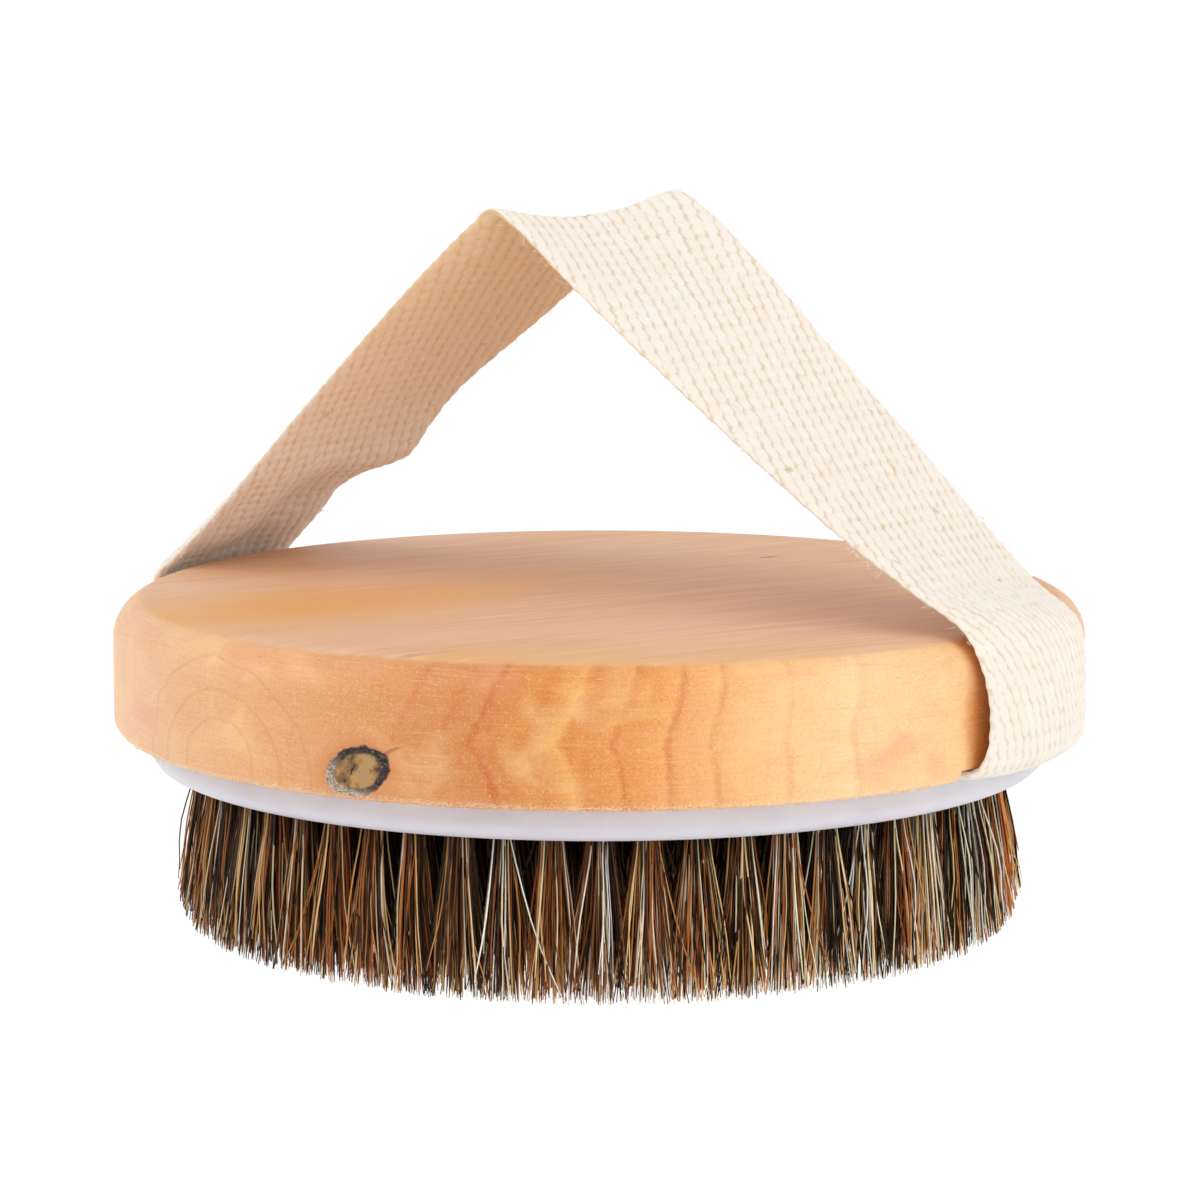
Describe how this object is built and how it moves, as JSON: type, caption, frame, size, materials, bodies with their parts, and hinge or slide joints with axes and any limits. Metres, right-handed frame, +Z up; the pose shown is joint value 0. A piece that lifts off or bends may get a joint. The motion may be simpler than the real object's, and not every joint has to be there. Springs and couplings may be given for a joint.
{
  "type": "body dry brush",
  "caption": "Round wooden body dry brush with a ring-set bristle face on a plastic plate and a peaked webbing hand strap across the top.",
  "frame": {"origin": "middle of the bristle face, on the plane the tips rest on", "axes": "+Z up through the block to the hand strap, +X along the hand strap, +Y across it"},
  "size_m": [0.1128, 0.11, 0.0812],
  "materials": {
    "wood": "sanded, unvarnished",
    "plate_plastic": "translucent white moulded plastic",
    "webbing": "heavy cotton webbing",
    "bristle": "natural bristle, mixed black, brown and tan",
    "steel": "bright wire"
  },
  "bodies": {
    "brush": {"wood_block": "wood", "bristle_plate": "plate_plastic", "plate_screws": "steel", "strap_end_left": "webbing", "strap_leg_left": "webbing", "strap_leg_right": "webbing", "strap_end_right": "webbing", "strap_staples_left": "steel", "strap_staples_right": "steel", "tuft_anchors": "steel", "tuft_centre": "bristle", "tufts_ring_1": "bristle", "tufts_ring_2": "bristle", "tufts_ring_3": "bristle", "tufts_ring_4": "bristle", "tufts_ring_5": "bristle", "tufts_ring_6": "bristle", "tufts_ring_7": "bristle", "tufts_ring_8": "bristle", "tufts_ring_9": "bristle"},
    "strap_top": {"strap_crown": "webbing"}
  },
  "joints": [
    {"name": "strap_press", "type": "slide", "parent": "brush", "child": "strap_top", "axis": [0, 0, -1], "range_m": [0, 0.028], "deforming": ["strap_leg_left", "strap_leg_right"]}
  ]
}
